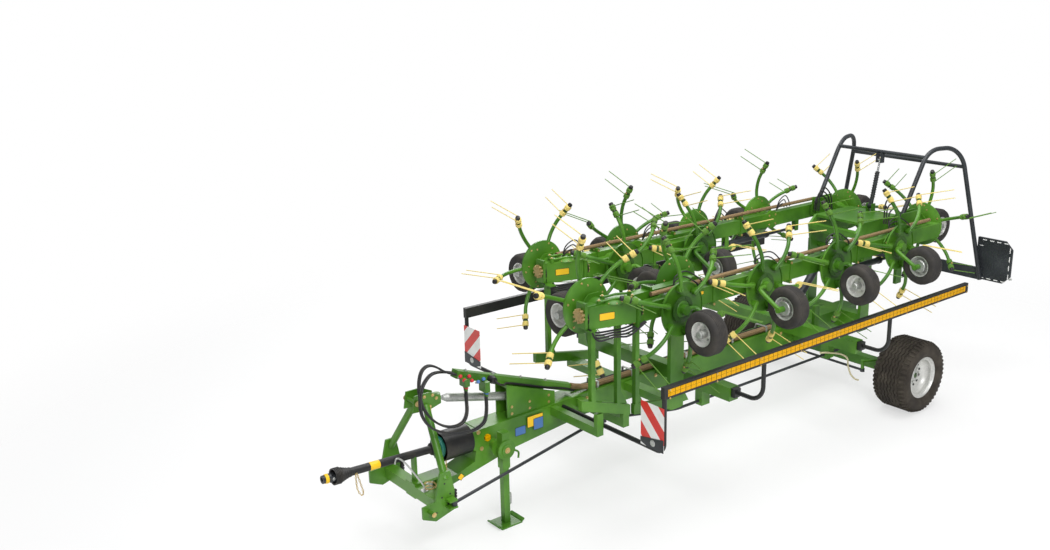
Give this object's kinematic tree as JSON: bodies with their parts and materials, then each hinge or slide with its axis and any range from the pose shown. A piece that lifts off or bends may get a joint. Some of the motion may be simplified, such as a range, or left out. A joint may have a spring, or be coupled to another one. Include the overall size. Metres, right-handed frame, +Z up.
{
  "type": "trailed hay tedder",
  "caption": "Trailed hay tedder folded for road transport: tined rotors in rows over a long two-wheeled chassis, with a steered axle, guard rails and hooped rear lights",
  "frame": {"origin": "on the ground under the middle of the overall length, on the centre plane", "axes": "+X to the rear, -X to the hitch, -Y the machine's left, +Z up"},
  "size_m": [8.0616, 3.0058, 2.777],
  "materials": {
    "paint_green": "gloss",
    "dark_steel": "satin",
    "tyre_rubber": "matte",
    "amber_lens": "gloss",
    "panel_white": "satin",
    "black_plastic": "matte",
    "yoke_yellow": "gloss",
    "galvanised": "satin",
    "bright_rod": "polished",
    "brass": "satin",
    "hose_brown": "matte"
  },
  "bodies": {
    "root": {"drawbar": "paint_green", "chassis": "paint_green", "side_rails": "paint_green", "reflectors": "amber_lens", "sign_panels": "panel_white", "hose_holder": "paint_green", "bell_guard": "black_plastic", "damper": "galvanised", "hoses": "black_plastic"},
    "headstock": {"headstock": "paint_green", "drive_guard": "black_plastic"},
    "drive_shaft": {"drive_shaft": "yoke_yellow"},
    "jack": {"jack_leg": "paint_green"},
    "steer_front": {"steer_rod_front": "paint_green"},
    "steer_rear": {"steer_rod_rear": "paint_green"},
    "track_rod": {"track_rod": "paint_green"},
    "knuckle_left": {"knuckle_left": "paint_green"},
    "knuckle_right": {"knuckle_right": "paint_green"},
    "road_wheel_left": {"road_wheel_left": "tyre_rubber"},
    "road_wheel_right": {"road_wheel_right": "tyre_rubber"},
    "folded_unit": {"wing_left": "paint_green", "wing_right": "paint_green", "centre_frame": "paint_green", "wheel_axles": "paint_green", "finger_clutches": "brass", "fold_cylinders": "dark_steel", "hose_bundles": "hose_brown"},
    "lift_barrel": {"lift_barrel": "dark_steel"},
    "lift_rod": {"lift_rod": "bright_rod"},
    "hoops": {"hoop_frame": "dark_steel"},
    "hoop_barrel": {"hoop_barrel": "dark_steel"},
    "hoop_rod": {"hoop_rod": "bright_rod"},
    "rotor_left_1": {"rotor_left_1": "paint_green"},
    "rotor_left_2": {"rotor_left_2": "paint_green"},
    "rotor_left_3": {"rotor_left_3": "paint_green"},
    "rotor_left_4": {"rotor_left_4": "paint_green"},
    "rotor_left_5": {"rotor_left_5": "paint_green"},
    "rotor_left_6": {"rotor_left_6": "paint_green"},
    "rotor_left_7": {"rotor_left_7": "paint_green"},
    "rotor_right_1": {"rotor_right_1": "paint_green"},
    "rotor_right_2": {"rotor_right_2": "paint_green"},
    "rotor_right_3": {"rotor_right_3": "paint_green"},
    "rotor_right_4": {"rotor_right_4": "paint_green"},
    "rotor_right_5": {"rotor_right_5": "paint_green"},
    "rotor_right_6": {"rotor_right_6": "paint_green"},
    "rotor_right_7": {"rotor_right_7": "paint_green"},
    "wheel_left_1": {"wheel_left_1": "tyre_rubber"},
    "wheel_left_2": {"wheel_left_2": "tyre_rubber"},
    "wheel_left_3": {"wheel_left_3": "tyre_rubber"},
    "wheel_left_4": {"wheel_left_4": "tyre_rubber"},
    "wheel_left_5": {"wheel_left_5": "tyre_rubber"},
    "wheel_left_6": {"wheel_left_6": "tyre_rubber"},
    "wheel_left_7": {"wheel_left_7": "tyre_rubber"},
    "wheel_right_1": {"wheel_right_1": "tyre_rubber"},
    "wheel_right_2": {"wheel_right_2": "tyre_rubber"},
    "wheel_right_3": {"wheel_right_3": "tyre_rubber"},
    "wheel_right_4": {"wheel_right_4": "tyre_rubber"},
    "wheel_right_5": {"wheel_right_5": "tyre_rubber"},
    "wheel_right_6": {"wheel_right_6": "tyre_rubber"},
    "wheel_right_7": {"wheel_right_7": "tyre_rubber"}
  },
  "joints": [
    {"name": "drawbar_swivel", "type": "hinge", "parent": "root", "child": "headstock", "pos_m": [-2.94, 0, 0.45], "axis": [0, 0, 1], "range_deg": [-25, 25]},
    {"name": "drive_spin", "type": "hinge", "parent": "headstock", "child": "drive_shaft", "pos_m": [-2.895, 0, 0.79], "axis": [-0.9989, 0, 0.0466], "continuous": true},
    {"name": "jack_travel", "type": "slide", "parent": "root", "child": "jack", "axis": [0, 0, 1], "range_m": [0, 0.25]},
    {"name": "steer_front_link", "type": "hinge", "parent": "headstock", "child": "steer_front", "pos_m": [-3.116, -0.49, 0.516], "axis": [0, 0, 1], "range_deg": [-23, 23]},
    {"name": "steer_rear_travel", "type": "slide", "parent": "root", "child": "steer_rear", "axis": [1, 0, 0], "range_m": [-0.20608, 0.20608]},
    {"name": "steer_left", "type": "hinge", "parent": "root", "child": "knuckle_left", "pos_m": [2.468, -0.79, 0.407], "axis": [0, 0, 1], "range_deg": [-14.25, 14.25]},
    {"name": "road_wheel_left_spin", "type": "hinge", "parent": "knuckle_left", "child": "road_wheel_left", "pos_m": [2.468, -1.127, 0.407], "axis": [0, 1, 0], "continuous": true},
    {"name": "steer_right", "type": "hinge", "parent": "root", "child": "knuckle_right", "pos_m": [2.468, 0.79, 0.407], "axis": [0, 0, 1], "range_deg": [-14.25, 14.25]},
    {"name": "road_wheel_right_spin", "type": "hinge", "parent": "knuckle_right", "child": "road_wheel_right", "pos_m": [2.468, 1.127, 0.407], "axis": [0, 1, 0], "continuous": true},
    {"name": "track_rod_travel", "type": "slide", "parent": "root", "child": "track_rod", "axis": [0, 1, 0], "range_m": [-0.05668, 0.05668]},
    {"name": "unit_lift", "type": "hinge", "parent": "root", "child": "folded_unit", "pos_m": [2.61, 0, 1.6], "axis": [0, 1, 0], "range_deg": [0, 12]},
    {"name": "lift_barrel_swing", "type": "hinge", "parent": "root", "child": "lift_barrel", "pos_m": [1.71, 0, 0.96], "axis": [0, 1, 0], "range_deg": [-0.05, 0.377]},
    {"name": "lift_rod_travel", "type": "slide", "parent": "lift_barrel", "child": "lift_rod", "axis": [0.6961, 0, 0.718], "range_m": [-0.0005, 0.04202]},
    {"name": "hoop_lift", "type": "hinge", "parent": "folded_unit", "child": "hoops", "pos_m": [2.93, 0, 2.032], "axis": [0, -1, 0], "range_deg": [0, 30]},
    {"name": "hoop_barrel_swing", "type": "hinge", "parent": "folded_unit", "child": "hoop_barrel", "pos_m": [3.17, 0, 2.032], "axis": [0, 1, 0], "range_deg": [-29.76, 0.05]},
    {"name": "hoop_rod_travel", "type": "slide", "parent": "hoop_barrel", "child": "hoop_rod", "axis": [0.2321, 0, 0.9727], "range_m": [-0.0005, 0.12469]},
    {"name": "rotor_left_5_spin", "type": "hinge", "parent": "folded_unit", "child": "rotor_left_5", "pos_m": [-1.006, -1, 1.867], "axis": [0, -1, 0], "continuous": true},
    {"name": "rotor_left_4_spin", "type": "hinge", "parent": "folded_unit", "child": "rotor_left_4", "pos_m": [0.094, -1, 1.867], "axis": [0, -1, 0], "continuous": true},
    {"name": "rotor_left_3_spin", "type": "hinge", "parent": "folded_unit", "child": "rotor_left_3", "pos_m": [1.194, -1, 1.867], "axis": [0, -1, 0], "continuous": true},
    {"name": "rotor_left_2_spin", "type": "hinge", "parent": "folded_unit", "child": "rotor_left_2", "pos_m": [2.294, -1, 1.867], "axis": [0, -1, 0], "continuous": true},
    {"name": "rotor_left_6_spin", "type": "hinge", "parent": "folded_unit", "child": "rotor_left_6", "pos_m": [-1.696, -0.51, 1.927], "axis": [0, 1, 0], "continuous": true},
    {"name": "rotor_left_7_spin", "type": "hinge", "parent": "folded_unit", "child": "rotor_left_7", "pos_m": [-0.596, -0.51, 1.927], "axis": [0, 1, 0], "continuous": true},
    {"name": "rotor_left_1_spin", "type": "hinge", "parent": "folded_unit", "child": "rotor_left_1", "pos_m": [3.425, -0.55, 1.867], "axis": [1, 0, 0], "continuous": true},
    {"name": "rotor_right_5_spin", "type": "hinge", "parent": "folded_unit", "child": "rotor_right_5", "pos_m": [-1.006, 1, 1.867], "axis": [0, 1, 0], "continuous": true},
    {"name": "rotor_right_4_spin", "type": "hinge", "parent": "folded_unit", "child": "rotor_right_4", "pos_m": [0.094, 1, 1.867], "axis": [0, 1, 0], "continuous": true},
    {"name": "rotor_right_3_spin", "type": "hinge", "parent": "folded_unit", "child": "rotor_right_3", "pos_m": [1.194, 1, 1.867], "axis": [0, 1, 0], "continuous": true},
    {"name": "rotor_right_2_spin", "type": "hinge", "parent": "folded_unit", "child": "rotor_right_2", "pos_m": [2.294, 1, 1.867], "axis": [0, 1, 0], "continuous": true},
    {"name": "rotor_right_6_spin", "type": "hinge", "parent": "folded_unit", "child": "rotor_right_6", "pos_m": [-0.316, 0.51, 1.817], "axis": [0, -1, 0], "continuous": true},
    {"name": "rotor_right_7_spin", "type": "hinge", "parent": "folded_unit", "child": "rotor_right_7", "pos_m": [0.784, 0.51, 1.817], "axis": [0, -1, 0], "continuous": true},
    {"name": "rotor_right_1_spin", "type": "hinge", "parent": "folded_unit", "child": "rotor_right_1", "pos_m": [3.425, 0.55, 1.867], "axis": [1, 0, 0], "continuous": true},
    {"name": "wheel_left_5_spin", "type": "hinge", "parent": "folded_unit", "child": "wheel_left_5", "pos_m": [-1.006, -1.3, 1.72], "axis": [1, 0, 0], "continuous": true},
    {"name": "wheel_left_4_spin", "type": "hinge", "parent": "folded_unit", "child": "wheel_left_4", "pos_m": [0.094, -1.3, 1.72], "axis": [1, 0, 0], "continuous": true},
    {"name": "wheel_left_3_spin", "type": "hinge", "parent": "folded_unit", "child": "wheel_left_3", "pos_m": [1.194, -1.3, 1.72], "axis": [1, 0, 0], "continuous": true},
    {"name": "wheel_left_2_spin", "type": "hinge", "parent": "folded_unit", "child": "wheel_left_2", "pos_m": [2.294, -1.3, 1.72], "axis": [1, 0, 0], "continuous": true},
    {"name": "wheel_left_6_spin", "type": "hinge", "parent": "folded_unit", "child": "wheel_left_6", "pos_m": [-1.696, -0.21, 1.78], "axis": [1, 0, 0], "continuous": true},
    {"name": "wheel_left_7_spin", "type": "hinge", "parent": "folded_unit", "child": "wheel_left_7", "pos_m": [-0.596, -0.21, 1.78], "axis": [1, 0, 0], "continuous": true},
    {"name": "wheel_left_1_spin", "type": "hinge", "parent": "folded_unit", "child": "wheel_left_1", "pos_m": [3.725, -0.55, 1.8], "axis": [0, 1, 0], "continuous": true},
    {"name": "wheel_right_5_spin", "type": "hinge", "parent": "folded_unit", "child": "wheel_right_5", "pos_m": [-1.006, 1.3, 1.72], "axis": [1, 0, 0], "continuous": true},
    {"name": "wheel_right_4_spin", "type": "hinge", "parent": "folded_unit", "child": "wheel_right_4", "pos_m": [0.094, 1.3, 1.72], "axis": [1, 0, 0], "continuous": true},
    {"name": "wheel_right_3_spin", "type": "hinge", "parent": "folded_unit", "child": "wheel_right_3", "pos_m": [1.194, 1.3, 1.72], "axis": [1, 0, 0], "continuous": true},
    {"name": "wheel_right_2_spin", "type": "hinge", "parent": "folded_unit", "child": "wheel_right_2", "pos_m": [2.294, 1.3, 1.72], "axis": [1, 0, 0], "continuous": true},
    {"name": "wheel_right_6_spin", "type": "hinge", "parent": "folded_unit", "child": "wheel_right_6", "pos_m": [-0.316, 0.21, 1.67], "axis": [1, 0, 0], "continuous": true},
    {"name": "wheel_right_7_spin", "type": "hinge", "parent": "folded_unit", "child": "wheel_right_7", "pos_m": [0.784, 0.21, 1.67], "axis": [1, 0, 0], "continuous": true},
    {"name": "wheel_right_1_spin", "type": "hinge", "parent": "folded_unit", "child": "wheel_right_1", "pos_m": [3.725, 0.55, 1.8], "axis": [0, 1, 0], "continuous": true}
  ],
  "couplings": [
    {"joint": "steer_front_link", "follows": "drawbar_swivel", "ratio": -0.91},
    {"joint": "steer_rear_travel", "follows": "drawbar_swivel", "m_per_rad": 0.47},
    {"joint": "steer_left", "follows": "drawbar_swivel", "ratio": -0.55},
    {"joint": "steer_right", "follows": "drawbar_swivel", "ratio": -0.55},
    {"joint": "track_rod_travel", "follows": "drawbar_swivel", "m_per_rad": 0.1276},
    {"joint": "lift_barrel_swing", "follows": "unit_lift", "ratio": 0.02729},
    {"joint": "lift_rod_travel", "follows": "unit_lift", "m_per_rad": 0.19825},
    {"joint": "hoop_barrel_swing", "follows": "hoop_lift", "ratio": -0.99027},
    {"joint": "hoop_rod_travel", "follows": "hoop_lift", "m_per_rad": 0.23719},
    {"joint": "rotor_left_5_spin", "follows": "rotor_left_1_spin", "ratio": 1},
    {"joint": "rotor_left_4_spin", "follows": "rotor_left_1_spin", "ratio": -1},
    {"joint": "rotor_left_3_spin", "follows": "rotor_left_1_spin", "ratio": 1},
    {"joint": "rotor_left_2_spin", "follows": "rotor_left_1_spin", "ratio": -1},
    {"joint": "rotor_left_6_spin", "follows": "rotor_left_1_spin", "ratio": -1},
    {"joint": "rotor_left_7_spin", "follows": "rotor_left_1_spin", "ratio": 1},
    {"joint": "rotor_right_5_spin", "follows": "rotor_left_1_spin", "ratio": -1},
    {"joint": "rotor_right_4_spin", "follows": "rotor_left_1_spin", "ratio": 1},
    {"joint": "rotor_right_3_spin", "follows": "rotor_left_1_spin", "ratio": -1},
    {"joint": "rotor_right_2_spin", "follows": "rotor_left_1_spin", "ratio": 1},
    {"joint": "rotor_right_6_spin", "follows": "rotor_left_1_spin", "ratio": 1},
    {"joint": "rotor_right_7_spin", "follows": "rotor_left_1_spin", "ratio": -1},
    {"joint": "rotor_right_1_spin", "follows": "rotor_left_1_spin", "ratio": -1}
  ]
}
